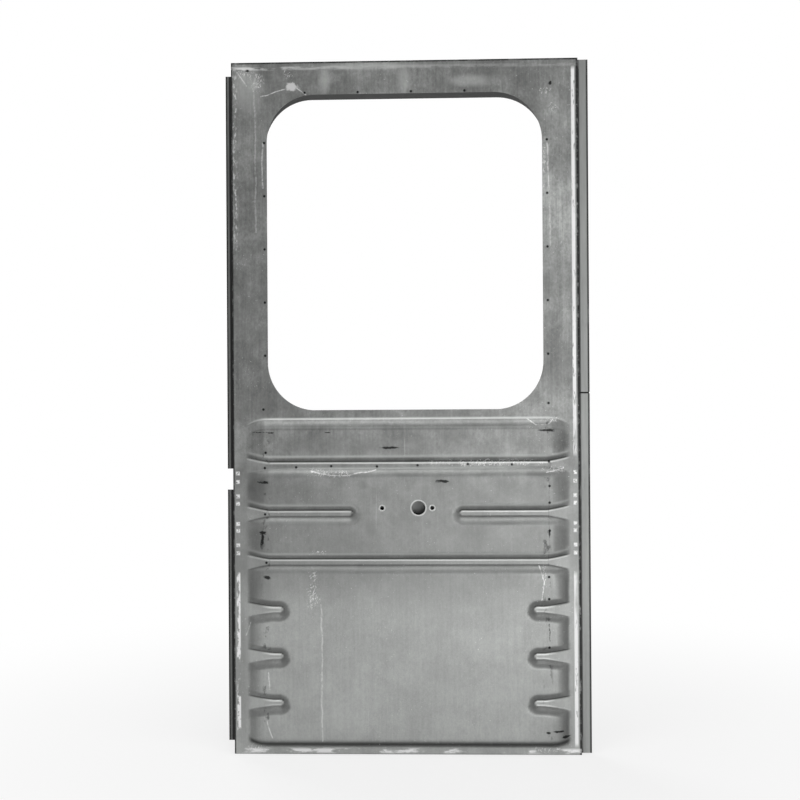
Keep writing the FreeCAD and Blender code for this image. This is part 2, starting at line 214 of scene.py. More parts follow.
def side_flank_shade(x, z):
    """Painted shade on the sloping sides of the field, stronger on the right, left out where a groove runs
    through.
    """
    within = shelf(z, FIELD_BOTTOM + 3, FIELD_TOP - 8, 6)
    lower = np.clip((SOFT_TO - z) / (SOFT_TO - SOFT_FROM), 0, 1)
    right = ridge(x - FIELD_RIGHT + 7 + 2 * lower, 11 + 2 * lower) * (0.34 + 0.10 * lower)
    left = ridge(x - FIELD_LEFT - 10, 12) * (0.15 + 0.14 * lower)
    edge = np.clip((from_sides(x) - SHARP_INSET * lower) / 2, 0, 1)
    for _, outside in grooves(x, z):
        edge = edge * np.clip(groove_wall(outside) * 3, 0, 1)
    return np.maximum(left, right) * edge * within


def finger_lines(outside, above, inside):
    """Painted shade and highlight of a finger: painted shade, partly dirt, on its flank and crease, and a
    painted highlight on its edge near the tip and on its floor.
    """
    crease = ridge(outside - 1.8, 1.8) * (0.5 * above + 0.3)
    flank = shelf(outside, 0, 12.5, 1.5) * 0.40
    near_tip = np.clip((inside - 24) / 20, 0.12, 1)
    edge = ridge(outside + 1.7, 1.5) * (0.8 * above + 0.4) * near_tip
    floor = (outside < -1) * 0.05
    return np.maximum(crease, flank), np.maximum(edge, floor)


def groove_lines(outside, above, inside, scraped, lower_flank_highlight):
    """Painted shade and highlight of a long groove: painted shade in its creases and mouth, painted highlight
    on its floor edges, floor, crest and lower flank, and a real scratch in the scraped one.
    """
    below = 1 - above
    thin = np.clip(inside / 45, 0.6, 1)
    crease = ridge(outside - 1.3, 1.4) * 0.85 * above
    mouth = shelf(outside, 0, 7, 2) * 0.45 * above * np.clip(1.6 - inside / 30, 0, 1)
    lower_crease = ridge(outside - 0.5, 1.4) * 0.4 * below * (not scraped)
    edge = ridge(outside + 1.6, 1.4) * 0.85 * above * thin
    crest = ridge(outside - 10.7, 2.2) * (0.45 if scraped else 0.30) * above * thin
    floor = (outside < -1) * (0.02 if scraped else 0.07)
    flank = shelf(outside, 2, 12, 2) * lower_flank_highlight * below * thin
    scratch = ridge(outside - 0.2, 1.3) * 0.55 * below * scraped * np.clip(inside / 150, 0.2, 1)
    dark = np.maximum.reduce([crease, mouth, lower_crease])
    return dark, np.maximum.reduce([edge, crest, floor, flank, scratch])


def crease_lines(x, z):
    """Painted shade, partly dirt, in the creases and on the sides of the field, and the pale lines beside
    them: painted highlights with some real scratches.
    """
    inside = from_sides(x)
    bottom, top = end_creases(x)
    # Painted shade along the top crease and the down-facing bottom flank; painted highlight on the top
    # crease's edge and the top flank
    dark = ridge(z - (top - TOP_RUN), 1.8) * 0.25 + ridge(z - bottom - 6, 6) * 0.85
    top_edge = ridge(z - top - 0.5, 1.3) * np.clip(inside / 45, 0.25, 1)
    pale = np.maximum(top_edge, shelf(z, top - 17, top - 3, 2) * 0.10)
    for center, outside in grooves(x, z):
        above = np.clip((z - center) / 4 + 0.3, 0, 1)
        if center in FINGERS:
            own = finger_lines(outside, above, inside)
        else:
            # Strength of the painted highlight on the groove's up-facing lower flank
            lower_flank_highlight = 0.03 if center == FULL_GROOVES[1] else 0.10
            own = groove_lines(outside, above, inside, center == FULL_GROOVES[0], lower_flank_highlight)
        dark, pale = np.maximum(dark, own[0]), np.maximum(pale, own[1])
    share = np.clip(inside / 8, 0, 1)
    return np.maximum(dark * share, side_flank_shade(x, z)), pale * share


def stations(low, high, zones, fine, coarse, marks=()):
    """Grid lines from low to high, close together inside the zones and on every mark."""
    breaks = sorted({low, high, *marks, *(edge for zone in zones for edge in zone if low < edge < high)})
    lines = [low]
    for start, stop in zip(breaks, breaks[1:]):
        middle = (start + stop) / 2
        dense = any(a <= middle <= b for a, b in zones)
        count = max(1, math.ceil((stop - start) / (fine if dense else coarse)))
        lines.extend(start + (stop - start) * step / count for step in range(1, count + 1))
    return lines


class Sheet:
    """Flat net of the skin: points as (x, z) and faces as loops of point numbers."""

    def __init__(self):
        self.points = []
        self.faces = []

    def add(self, x, z):
        """Number of a new point."""
        self.points.append((x, z))
        return len(self.points) - 1

    def bridge(self, outer, rings, target):
        """Rings of quads from a loop of points to the places in target."""
        last = outer
        for ring in range(1, rings + 1):
            share = ring / rings
            loop = []
            for number, (x, z) in zip(outer, target):
                ox, oz = self.points[number]
                loop.append(self.add(ox + (x - ox) * share, oz + (z - oz) * share))
            for i in range(len(loop)):
                j = (i + 1) % len(loop)
                self.faces.append((last[i], last[j], loop[j], loop[i]))
            last = loop


def nearest(lines, place):
    """Number of the grid line closest to a place."""
    return min(range(len(lines)), key=lambda number: abs(lines[number] - place))


def field_net(sheet, columns, rows):
    """Grid of the lower part with round lock holes; gives the numbers of its top row."""
    numbers = [[sheet.add(x, z) for x in columns] for z in rows]
    open_cells = set()
    for x, radius, half in LOCK_HOLES:
        i0, i1 = nearest(columns, x - half), nearest(columns, x + half)
        j0, j1 = nearest(rows, LOCK_Z - half), nearest(rows, LOCK_Z + half)
        open_cells.update((i, j) for i in range(i0, i1) for j in range(j0, j1))
        loop = [numbers[j0][i] for i in range(i0, i1)] + [numbers[j][i1] for j in range(j0, j1)]
        loop += [numbers[j1][i] for i in range(i1, i0, -1)] + [numbers[j][i0] for j in range(j1, j0, -1)]
        target = []
        for number in loop:
            px, pz = sheet.points[number]
            reach = math.hypot(px - x, pz - LOCK_Z)
            target.append((x + (px - x) * radius / reach, LOCK_Z + (pz - LOCK_Z) * radius / reach))
        sheet.bridge(loop, HOLE_RINGS, target)
    for j in range(len(rows) - 1):
        for i in range(len(columns) - 1):
            if (i, j) not in open_cells:
                low, high = numbers[j], numbers[j + 1]
                sheet.faces.append((low[i], low[i + 1], high[i + 1], high[i]))
    return numbers[-1]


def window_spot(along, low, high, first, last, start_angle):
    """Angle on a corner arc for a place along one side, or None on the straight between first and last."""
    if along < first:
        return start_angle + math.pi / 4 * (along - low) / (first - low)
    if along > last:
        return start_angle + math.pi / 4 + math.pi / 4 * (along - last) / (high - last)
    return None


def arc_point(angle):
    """Point of the window's edge on the corner that faces the angle."""
    x = WINDOW_RIGHT - WINDOW_CORNER if math.cos(angle) > 0 else WINDOW_LEFT + WINDOW_CORNER
    z = WINDOW_TOP - WINDOW_CORNER if math.sin(angle) > 0 else WINDOW_BOTTOM + WINDOW_CORNER
    return x + WINDOW_CORNER * math.cos(angle), z + WINDOW_CORNER * math.sin(angle)


def window_net(sheet, columns, bottom_row, edge_top):
    """Border round the window, from the skin's edge to the round-cornered aperture."""
    left, right = columns[0], columns[-1]
    x_first, x_last = WINDOW_LEFT + WINDOW_CORNER, WINDOW_RIGHT - WINDOW_CORNER
    z_first, z_last = WINDOW_BOTTOM + WINDOW_CORNER, WINDOW_TOP - WINDOW_CORNER
    rises = stations(WINDOW_JOIN, edge_top, (), SIDE_STEP, SIDE_STEP, (z_first, z_last))
    outer, target = [], []

    def take(number, angle, straight):
        outer.append(number)
        target.append(straight if angle is None else arc_point(angle))

    for x, number in zip(columns[:-1], bottom_row):
        take(number, window_spot(x, left, right, x_first, x_last, 1.25 * math.pi), (x, WINDOW_BOTTOM))
    for z in rises[:-1]:
        number = bottom_row[-1] if z == rises[0] else sheet.add(right, z)
        take(number, window_spot(z, rises[0], edge_top, z_first, z_last, -0.25 * math.pi), (WINDOW_RIGHT, z))
    for x in reversed(columns[1:]):
        angle = window_spot(-x, -right, -left, -x_last, -x_first, 0.25 * math.pi)
        take(sheet.add(x, edge_top), angle, (x, WINDOW_TOP))
    for z in reversed(rises[1:]):
        angle = window_spot(-z, -edge_top, -rises[0], -z_last, -z_first, 0.75 * math.pi)
        take(sheet.add(left, z), angle, (WINDOW_LEFT, z))
    sheet.bridge(outer, WINDOW_RINGS, target)


def skin_net():
    """The whole flat net inside the folded edge."""
    sheet = Sheet()
    inset = HEM_RADIUS
    x_zones = [(LEFT, LEFT + FINE_LEFT), (RIGHT - FINE_RIGHT, RIGHT)]
    for tip in (MIDDLE - HALF_GROOVE_SPACE / 2, MIDDLE + HALF_GROOVE_SPACE / 2):
        x_zones.append((tip - TIP_MARGIN, tip + TIP_MARGIN))
    z_zones = [(z - GROOVE_MARGIN, z + GROOVE_MARGIN) for z in (*FULL_GROOVES, HALF_GROOVE, *FINGERS)]
    z_zones.append((FIELD_TOP - TOP_RUN - TOP_MARGIN, WINDOW_JOIN))
    z_zones.append((BOTTOM, FIELD_BOTTOM + BOTTOM_RUN + BOTTOM_MARGIN))
    x_marks, z_marks = [FIELD_LEFT + SHARP_INSET, FIELD_RIGHT - SHARP_INSET], []
    for x, _, half in LOCK_HOLES:
        x_zones.append((x - half, x + half))
        z_zones.append((LOCK_Z - half, LOCK_Z + half))
        x_marks += [x - half, x + half]
        z_marks += [LOCK_Z - half, LOCK_Z + half]
    columns = stations(LEFT + inset, RIGHT - inset, x_zones, FINE_X, COARSE_X, x_marks)
    rows = stations(BOTTOM + inset, WINDOW_JOIN, z_zones, FINE_Z, COARSE_Z, z_marks)
    top_row = field_net(sheet, columns, rows)
    window_net(sheet, columns, top_row, TOP - inset)
    return sheet


def rim_edges(faces):
    """Directed edges that belong to one face only."""
    seen = {}
    for face in faces:
        for a, b in zip(face, face[1:] + face[:1]):
            seen.setdefault((min(a, b), max(a, b)), []).append((a, b))
    return [uses[0] for uses in seen.values() if len(uses) == 1]


def pressed_sheet():
    """Points and faces of the pressed sheet with its real thickness, and the painted shade and painted
    highlight marks along its creases.
    """
    sheet = skin_net()
    flat = np.array(sheet.points)
    x, z = flat[:, 0], flat[:, 1]
    front = np.stack([x, BORDER_FRONT - rise_at(x, z), z], 1)
    back = front + np.array([0, SHEET, 0])
    count = len(flat)
    faces = list(sheet.faces)
    faces += [tuple(number + count for number in reversed(face)) for face in sheet.faces]
    faces += [(b, a, a + count, b + count) for a, b in rim_edges(sheet.faces)]
    dark, pale = crease_lines(x, z)
    # Dark marks are painted shade, partly dirt; pale lines are painted highlight, with some real scratches
    marks = {"crease_shade_and_dirt": dark, "pale_lines": pale}
    return np.concatenate([front, back]), faces, {key: np.tile(value, 2) for key, value in marks.items()}


def hem_profile():
    """Section of the fold as (distance in from the edge, depth): outer bend, return, inner bend."""
    middle = (BORDER_FRONT + HEM_REAR) / 2
    outer, inner = [], []
    for step in range(HEM_STEPS + 1):
        angle = math.pi * step / HEM_STEPS
        for radius, path in ((HEM_RADIUS, outer), (HEM_RADIUS - SHEET, inner)):
            path.append((HEM_RADIUS - radius * math.sin(angle), middle - radius * math.cos(angle)))
    return outer + [(HEM_RETURN, HEM_REAR), (HEM_RETURN, HEM_REAR - SHEET)] + inner[::-1]


def folded_edge(start):
    """Points and faces of the fold round all four sides, numbered from start."""
    points, faces = [], []
    profile = hem_profile()
    for inset, y in profile:
        corners = [(LEFT + inset, BOTTOM + inset), (RIGHT - inset, BOTTOM + inset),
                   (RIGHT - inset, TOP - inset), (LEFT + inset, TOP - inset)]
        points += [(x, y, z) for x, z in corners]
    for i in range(len(profile)):
        j = (i + 1) % len(profile)
        for corner in range(4):
            following = (corner + 1) % 4
            loop = (4 * i + corner, 4 * j + corner, 4 * j + following, 4 * i + following)
            faces.append(tuple(start + number for number in loop))
    return np.array(points), faces


def mesh_object(name, points, faces, material):
    """Mesh object from points in millimetres, shaded smooth except across sharp bends."""
    mesh = bpy.data.meshes.new(name)
    mesh.from_pydata([tuple(point) for point in points * MM], [], faces)
    mesh.validate()
    mesh.shade_smooth()
    mesh.set_sharp_from_angle(angle=SMOOTH_ANGLE)
    mesh.materials.append(material)
    piece = bpy.data.objects.new(name, mesh)
    bpy.context.scene.collection.objects.link(piece)
    return piece


class Shader:
    """Short calls that build one node material."""

    def __init__(self, name):
        self.material = bpy.data.materials.new(name)
        self.material.use_nodes = True
        self.tree = self.material.node_tree
        self.surface = self.tree.nodes["Principled BSDF"]
        place = self.node("ShaderNodeTexCoord").outputs["Object"]
        self.place = place
        axes = self.node("ShaderNodeSeparateXYZ")
        self.tree.links.new(place, axes.inputs[0])
        self.x, self.y, self.z = axes.outputs
        flat = self.node("ShaderNodeCombineXYZ")
        self.feed(flat.inputs["X"], self.x)
        self.feed(flat.inputs["Z"], self.z)
        self.flat = flat.outputs[0]

    def node(self, kind, **settings):
        """New node with its settings."""
        made = self.tree.nodes.new(kind)
        for key, value in settings.items():
            setattr(made, key, value)
        return made

    def feed(self, socket, value):
        """Link a node's output to a socket, or set the socket to a constant."""
        if isinstance(value, bpy.types.NodeSocket):
            self.tree.links.new(value, socket)
        else:
            socket.default_value = value

    def math(self, operation, *values, clamp=False):
        """Result of one arithmetic step."""
        made = self.node("ShaderNodeMath", operation=operation, use_clamp=clamp)
        for socket, value in zip(made.inputs, values):
            self.feed(socket, value)
        return made.outputs[0]

    def ramp(self, value, low, high, low_out=0.0, high_out=1.0):
        """Smooth step of value from low_out at low to high_out at high."""
        made = self.node("ShaderNodeMapRange", interpolation_type="SMOOTHSTEP")
        for socket, item in zip(made.inputs, (value, low, high, low_out, high_out)):
            self.feed(socket, item)
        return made.outputs[0]

    def slope(self, axis, low, high, low_out=0.0, high_out=1.0):
        """Smooth step along an axis or a distance between two places in millimetres."""
        return self.ramp(axis, low * MM, high * MM, low_out, high_out)

    def band(self, axis, low, high, soft):
        """One between two places in millimetres, with soft edges."""
        rise = self.slope(axis, low - soft, low + soft)
        return self.math("MULTIPLY", rise, self.slope(axis, high - soft, high + soft, 1.0, 0.0))

    def times(self, *values):
        """Product of the values."""
        product = values[0]
        for value in values[1:]:
            product = self.math("MULTIPLY", product, value)
        return product

    def peak(self, values):
        """Highest of many values, each taken in as soon as it is made, which keeps the material light."""
        highest = 0.0
        for value in values:
            highest = self.math("MAXIMUM", highest, value)
        return highest

    def most(self, *values):
        """Highest of the values."""
        return self.peak(values)

    def noise(self, scale, detail=4.0, rough=0.55, stretch=(1, 1, 1), seed=0.0, lean=0.0):
        """Noise between 0 and 1, drawn out by stretch along each axis and leaning by degrees about Y."""
        mapping = self.node("ShaderNodeMapping", vector_type="TEXTURE")
        self.tree.links.new(self.place, mapping.inputs["Vector"])
        mapping.inputs["Scale"].default_value = stretch
        mapping.inputs["Rotation"].default_value = (0, math.radians(lean), 0)
        mapping.inputs["Location"].default_value = (seed, seed * 0.7, seed * 1.3)
        made = self.node("ShaderNodeTexNoise")
        self.tree.links.new(mapping.outputs[0], made.inputs["Vector"])
        for key, value in (("Scale", scale), ("Detail", detail), ("Roughness", rough)):
            made.inputs[key].default_value = value
        return made.outputs["Fac"]

    def attribute(self, name):
        """Value stored on the mesh's points."""
        return self.node("ShaderNodeAttribute", attribute_name=name).outputs["Fac"]

    def spot(self, x, z, inner, outer):
        """Round mark about a place, fading out from the inner to the outer radius."""
        made = self.node("ShaderNodeVectorMath", operation="DISTANCE")
        self.feed(made.inputs[0], self.flat)
        self.feed(made.inputs[1], (x * MM, 0, z * MM))
        return self.ramp(made.outputs["Value"], inner * MM, outer * MM, 1.0, 0.0)

    def reach(self, x, z, wide, tall):
        """Distance from a place over the skin, as a share of the half-width and half-height given."""
        across = self.math("MULTIPLY", self.math("SUBTRACT", self.x, x * MM), 1 / (wide * MM))
        along = self.math("MULTIPLY", self.math("SUBTRACT", self.z, z * MM), 1 / (tall * MM))
        square = self.math("ADD", self.math("MULTIPLY", across, across), self.math("MULTIPLY", along, along))
        return self.math("SQRT", square)

    def haze(self, x, z, wide, tall):
        """Soft patch about a place."""
        return self.ramp(self.reach(x, z, wide, tall), 0.2, 1.0, 1.0, 0.0)

    def blot(self, x, z, wide, tall, ragged):
        """Irregular patch about a place; ragged is noise that breaks its edge."""
        return self.ramp(self.math("ADD", self.reach(x, z, wide, tall), ragged), 0.45, 1.05, 1.0, 0.0)

    def stroke(self, wander, x0, z0, x1, z1, width, strength):
        """Thin scratch from one place to another over coordinates that wander a little."""
        dx, dz = (x1 - x0) * MM, (z1 - z0) * MM
        across = self.math("SUBTRACT", wander[0], x0 * MM)
        along = self.math("SUBTRACT", wander[1], z0 * MM)
        dot = self.math("MULTIPLY_ADD", across, dx, self.math("MULTIPLY", along, dz))
        share = self.math("DIVIDE", dot, dx * dx + dz * dz, clamp=True)
        across = self.math("MULTIPLY_ADD", share, -dx, across)
        along = self.math("MULTIPLY_ADD", share, -dz, along)
        square = self.math("MULTIPLY_ADD", across, across, self.math("MULTIPLY", along, along))
        return self.ramp(self.math("SQRT", square), width * 0.35 * MM, width * MM, strength, 0.0)

    def flecks(self, scale, cut, soft=0.04, stretch=(1, 1, 1), seed=0.0, lean=0.0):
        """Irregular patches where noise is above a cut."""
        return self.ramp(self.noise(scale, 5.0, 0.62, stretch, seed, lean), cut - soft, cut + soft)

    def mix(self, share, first, second):
        """First colour, with a share of the second."""
        made = self.node("ShaderNodeMix", data_type="RGBA")
        self.feed(made.inputs["Factor"], share)
        self.feed(made.inputs["A"], first)
        self.feed(made.inputs["B"], second)
        return made.outputs["Result"]

    def gain(self, color, amount):
        """Colour multiplied by a value."""
        made = self.node("ShaderNodeVectorMath", operation="SCALE")
        self.feed(made.inputs[0], color[:3])
        self.feed(made.inputs["Scale"], amount)
        return made.outputs[0]

    def bump(self, height, strength, distance):
        """Fine relief, distance in metres."""
        made = self.node("ShaderNodeBump")
        self.feed(made.inputs["Height"], height)
        made.inputs["Strength"].default_value = strength
        made.inputs["Distance"].default_value = distance
        self.tree.links.new(made.outputs[0], self.surface.inputs["Normal"])

    def finish(self, color, roughness, metallic):
        """The material with its main values set."""
        self.feed(self.surface.inputs["Base Color"], color)
        self.feed(self.surface.inputs["Roughness"], roughness)
        self.feed(self.surface.inputs["Metallic"], metallic)
        return self.material


def grey(value, green=0.012):
    """Neutral grey with a faint green cast, as a linear colour."""
    return (value * (1 - green), value * (1 + green), value * (1 - green), 1.0)


SKIN_GREY = 0.225

# Places of marks, millimetres: rows of spot welds beside the window and above it
WELD_RADIUS = 3.2
WELD_PITCH = 100.0
SIDE_WELDS_X, SIDE_WELDS_Z, SIDE_WELDS_START = (LEFT + 62.0, RIGHT - 58.0), (20.0, 520.0), 98.0
TOP_WELDS_X, TOP_WELDS_Z, TOP_WELDS_START = (WINDOW_LEFT + 60, WINDOW_RIGHT - 60), WINDOW_TOP + 3.5, 28.0
# Single welds below the window as (x, z)
WELDS = ((47, -3), (52, -84), (49, -113), (49, -200), (51, -291), (581, 6), (581, -103), (581, -148),
         (581, -179), (581, -231), (579, -317), (579, -358), (579, -448), (108, -112), (174, -110),
         (260, -111), (336, -109), (430, -107), (512, -108))
# Outer edges of the strips, and the rubbed strip and dashes on the side borders
LIP_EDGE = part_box("overlap_lip_upper")[1].x / MM
SEAL_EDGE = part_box("hinge_seal_strip_upper")[0].x / MM
SEAL_PALE = (SEAL_EDGE + 2.6, SEAL_EDGE + 6.2)
DASHES_Z = (-123.0, -139.0, -166.0, -180.0, -218.0, -231.0, -258.0, -273.0)
STRIP_X = RIGHT - 9.5
# Dark smears as (x, z, half width, half height)
SMEARS = ((63, -47, 9, 3), (50, -139, 12, 3), (45, -234, 8, 4), (45, -248, 4, 16), (54, -318, 8, 4),
          (288, -76, 22, 3), (577, -45, 13, 3), (382, -138, 12, 3), (580, -235, 3, 9), (596, -604, 12, 3),
          (610, -614, 9, 3), (577, -607, 5, 3), (588, 603, 4, 4), (20, 634, 5, 4), (170, -47, 7, 2))
# Thin dark lines as (start x, start z, end x, end z, width, strength)
TAILS = ((27, -46, 67, -46, 1.2, 0.8), (45, -231, 44, -264, 2.6, 0.5), (560, -45, 592, -45, 1.1, 0.7),
         (581, -110, 579, -300, 0.9, 0.35), (579, -404, 580, -436, 1.3, 0.7))
# Soft clouds of soot and painted shade, as the smears
SOOT_AND_SHADE = ((42, -350, 46, 60), (36, -150, 46, 62), (230, -70, 190, 26), (585, -60, 60, 40), (560, 590, 60, 34),
        (600, 60, 40, 60), (20, 150, 40, 150), (600, -600, 40, 70), (70, -5, 90, 50),
        (234, -145, 15, 13), (249, -229, 18, 24), (229, -297, 16, 12), (55, 25, 80, 60), (2, -480, 24, 190),
        (215, 612, 34, 24), (372, 612, 30, 26), (296, 600, 22, 20), (606, 388, 16, 12))
# Soft pale patches, as the smears
PALE = ((165, 615, 16, 40), (315, 615, 18, 40), (440, 610, 60, 16), (245, 640, 160, 10), (20, 600, 40, 60))
# Pale rubbed patches, as the smears
RUBS = ((578, 590, 14, 6), (40, 612, 12, 20), (590, -24, 16, 5), (150, -118, 34, 6),
        (600, -118, 15, 6), (570, -320, 5, 26), (20, 628, 26, 9), (560, -640, 40, 5), (30, -636, 24, 7),
        (150, -271, 20, 5), (140, -345, 12, 42), (575, 455, 5, 45), (592, 560, 10, 14),
        (470, -104, 120, 8), (98, 626, 12, 10), (170, -124, 60, 6), (590, -118, 26, 8))
# Single patches, as the smears: painted shade on the left border, painted light on the right border, and a
# bright smear
PAINTED_SHADE_PATCH = (48, 18, 70, 55)
LIT_RIGHT_BORDER = (598, 420, 60, 230)
BRIGHT_SMEAR = (104, 603, 15, 8)
# Single scratches as (start x, start z, end x, end z, width, strength)
SCRATCHES = ((47, 583, 89, 600, 1.5, 0.9), (112, 602, 131, 587, 1.4, 0.9), (34, 621, 34, 331, 2.4, 0.3),
             (47, 499, 47, 415, 2.0, 0.6), (2, 630, 20, 604, 1.6, 0.8), (540, -22, 555, -33, 1.4, 0.8),
             (555, -33, 578, -33, 1.4, 0.8), (578, -33, 588, -22, 1.4, 0.8), (576, -123, 609, -117, 1.6, 0.8),
             (136, -118, 193, -127, 1.6, 0.9), (193, -127, 258, -117, 1.6, 0.9),
             (563, -299, 569, -323, 1.4, 0.8), (569, -323, 565, -360, 1.4, 0.8),
             (155, -370, 155, -622, 1.8, 0.45), (582, 490, 584, 406, 1.6, 0.7),
             (584, 378, 587, 300, 1.5, 0.5), (19, -401, 11, -426, 1.4, 0.7),
             (55, -495, 59, -528, 1.4, 0.7), (51, -584, 61, -616, 1.4, 0.7))


def spot_welds(s):
    """Dark round marks of the spot welds: in rows beside the window and above it, single ones below."""
    def row(along, across, center, low, high, start):
        half = WELD_PITCH / 2 * MM
        wrapped = s.math("WRAP", s.math("SUBTRACT", along, start * MM), half, -half)
        offset = s.math("SUBTRACT", across, center * MM)
        reach = s.math("SQRT", s.math("ADD", s.math("POWER", wrapped, 2.0), s.math("POWER", offset, 2.0)))
        spot = s.slope(reach, WELD_RADIUS / 2, WELD_RADIUS, 1.0, 0.0)
        return s.times(spot, s.band(along, low, high, 1.0))

    beside = s.peak(row(s.z, s.x, x, *SIDE_WELDS_Z, SIDE_WELDS_START) for x in SIDE_WELDS_X)
    over = row(s.x, s.z, TOP_WELDS_Z, *TOP_WELDS_X, TOP_WELDS_START)
    single = s.peak(s.spot(x, z, WELD_RADIUS / 2, WELD_RADIUS) for x, z in WELDS)
    return s.most(beside, over, single)


def edge_wear(s):
    """Pale rubbed strips and dashes along the side borders, and patches on the top and bottom ones."""
    crumbs = s.flecks(150, 0.41, 0.04, (1, 1, 2.2), 3.0)
    near_right = s.band(s.x, STRIP_X - 3.2, STRIP_X + 3.2, 1.0)
    right_run = s.most(s.band(s.z, -90, 632, 6.0), s.band(s.z, -632, -312, 6.0))
    right_run = s.times(right_run, s.flecks(34, 0.38, 0.10, (1, 1, 7), 1.0),
                        s.flecks(170, 0.38, 0.08, (1, 1, 4), 2.0))
    dashes = s.peak(s.band(s.z, z - 3.4, z + 3.4, 1.4) for z in DASHES_Z)
    dashes = s.times(dashes, s.flecks(260, 0.44, 0.08, (1, 1, 1), 4.0))
    right = s.times(near_right, s.most(right_run, dashes))
    left_high = s.times(s.band(s.x, LEFT + 3, LEFT + 11, 2.0), s.band(s.z, 300, 640, 40.0),
                        s.flecks(240, 0.57, 0.06, (1, 1, 2), 6.0), 0.6)
    left_band = s.band(s.x, LEFT + 5.5, LEFT + 12.5, 0.8)
    left_run = s.times(s.band(s.z, -632, -310, 3.0), s.flecks(44, 0.49, 0.03, (1, 1, 3), 5.0), crumbs)
    left = s.times(left_band, s.most(left_run, dashes))
    bottom = s.times(s.band(s.z, BOTTOM + 3, BOTTOM + 11, 3.0), s.flecks(60, 0.55, 0.06, (3, 1, 1), 8.0))
    top = s.times(s.band(s.z, TOP - 15, TOP - 9, 2.0), s.slope(s.x, LEFT, LEFT + 260, 0.75, 0.15),
                  s.flecks(110, 0.48, 0.07, (5, 1, 1), 9.0))
    return s.most(right, left, left_high, bottom, top)


def scuffs(s):
    """Pale rubbed places made of short scratches, thin upright scratches and loose specks."""
    ragged = s.ramp(s.noise(60, 4.0, 0.7, (1, 1, 1), 11.0), 0.2, 0.8, -0.6, 0.6)
    places = s.peak(s.blot(*rub, ragged) for rub in RUBS)
    strokes = s.most(s.flecks(520, 0.60, 0.04, (1, 1, 4), 13.0, 24.0),
                     s.flecks(330, 0.61, 0.04, (1, 1, 1), 12.0))
    sway = s.noise(16, 3.0, 0.6, (1, 1, 1), 20.0)
    wander = (s.math("MULTIPLY_ADD", sway, 0.014, s.math("ADD", s.x, -0.007)),
              s.math("MULTIPLY_ADD", sway, -0.016, s.math("ADD", s.z, 0.008)))
    lines = s.peak(s.stroke(wander, *scratch) for scratch in SCRATCHES)
    lines = s.times(lines, s.ramp(s.noise(150, 3.0, 0.7, (1, 1, 1), 18.0), 0.40, 0.55, 0.25, 1.0))
    upright = s.flecks(200, 0.70, 0.03, (1, 1, 60), 15.0)
    upright = s.times(upright, s.flecks(8, 0.52, 0.06, (1, 1, 2), 16.0))
    specks = s.times(s.flecks(330, 0.68, 0.03, (1, 1, 1), 17.0), s.flecks(8, 0.50, 0.10, (1, 1, 1), 19.0))
    smear = s.ramp(s.math("ADD", s.reach(*BRIGHT_SMEAR), ragged), 0.5, 1.1, 0.9, 0.0)
    return s.most(s.times(places, strokes), smear, lines, s.times(upright, 0.45), s.times(specks, 0.7))


def stains(s):
    """Dark smears beside the welds, and soft soot with painted shade over the upper half and in darker
    patches.
    """
    flat = s.ramp(s.noise(110, 4.0, 0.7, (2.4, 1, 0.8), 21.0), 0.2, 0.8, -0.75, 0.75)
    tall = s.ramp(s.noise(110, 4.0, 0.7, (0.8, 1, 2.4), 24.0), 0.2, 0.8, -0.75, 0.75)
    smears = s.peak(s.blot(*smear, flat if smear[2] > smear[3] else tall) for smear in SMEARS)
    sway = s.math("MULTIPLY_ADD", s.noise(60, 3.0, 0.6, (1, 1, 1), 26.0), 0.005, -0.0025)
    wander = (s.math("ADD", s.x, sway), s.math("ADD", s.z, sway))
    tails = s.peak(s.stroke(wander, *tail) for tail in TAILS)
    tails = s.times(tails, s.ramp(s.noise(240, 3.0, 0.7, (1, 1, 1), 25.0), 0.38, 0.55, 0.1, 1.0))
    lines = s.most(s.band(s.x, LEFT + 56, LEFT + 70, 5.0), s.band(s.x, RIGHT - 70, RIGHT - 56, 5.0))
    drips = s.times(lines, s.band(s.z, BOTTOM + 25, 0, 10.0), s.flecks(90, 0.62, 0.05, (1.3, 1, 2), 22.0))
    # Darker higher up: painted shade together with soot
    upper = s.slope(s.z, -250, 100, 0.35, 1.0)
    clouds = s.peak(s.haze(*cloud) for cloud in SOOT_AND_SHADE)
    soot_and_shade = s.most(s.times(s.flecks(11, 0.50, 0.12, (1.3, 1, 1), 23.0), upper), s.times(clouds, 0.8))
    return s.most(s.times(smears, 0.9), tails, s.times(drips, 0.6)), soot_and_shade


def rim_shade_line(s):
    """Painted shade as a dark line along the fold."""
    high = s.slope(s.z, TOP - 4.5, TOP - 2.0)
    right = s.slope(s.x, RIGHT - 4.9, RIGHT - 2.6)
    left = s.slope(s.x, LEFT + 1.5, LEFT + 4.0, 1.0, 0.0)
    broken = s.ramp(s.noise(70, 3.0, 0.6, (1, 1, 1), 29.0), 0.3, 0.5, 0.45, 1.0)
    return s.times(s.most(high, right, left), broken)


def hole_rim_highlights(s):
    """Painted highlight on the turned edge round each lock hole."""
    return s.peak(s.spot(x, LOCK_Z, radius + 1.5, radius + 3.2) for x, radius, _ in LOCK_HOLES)


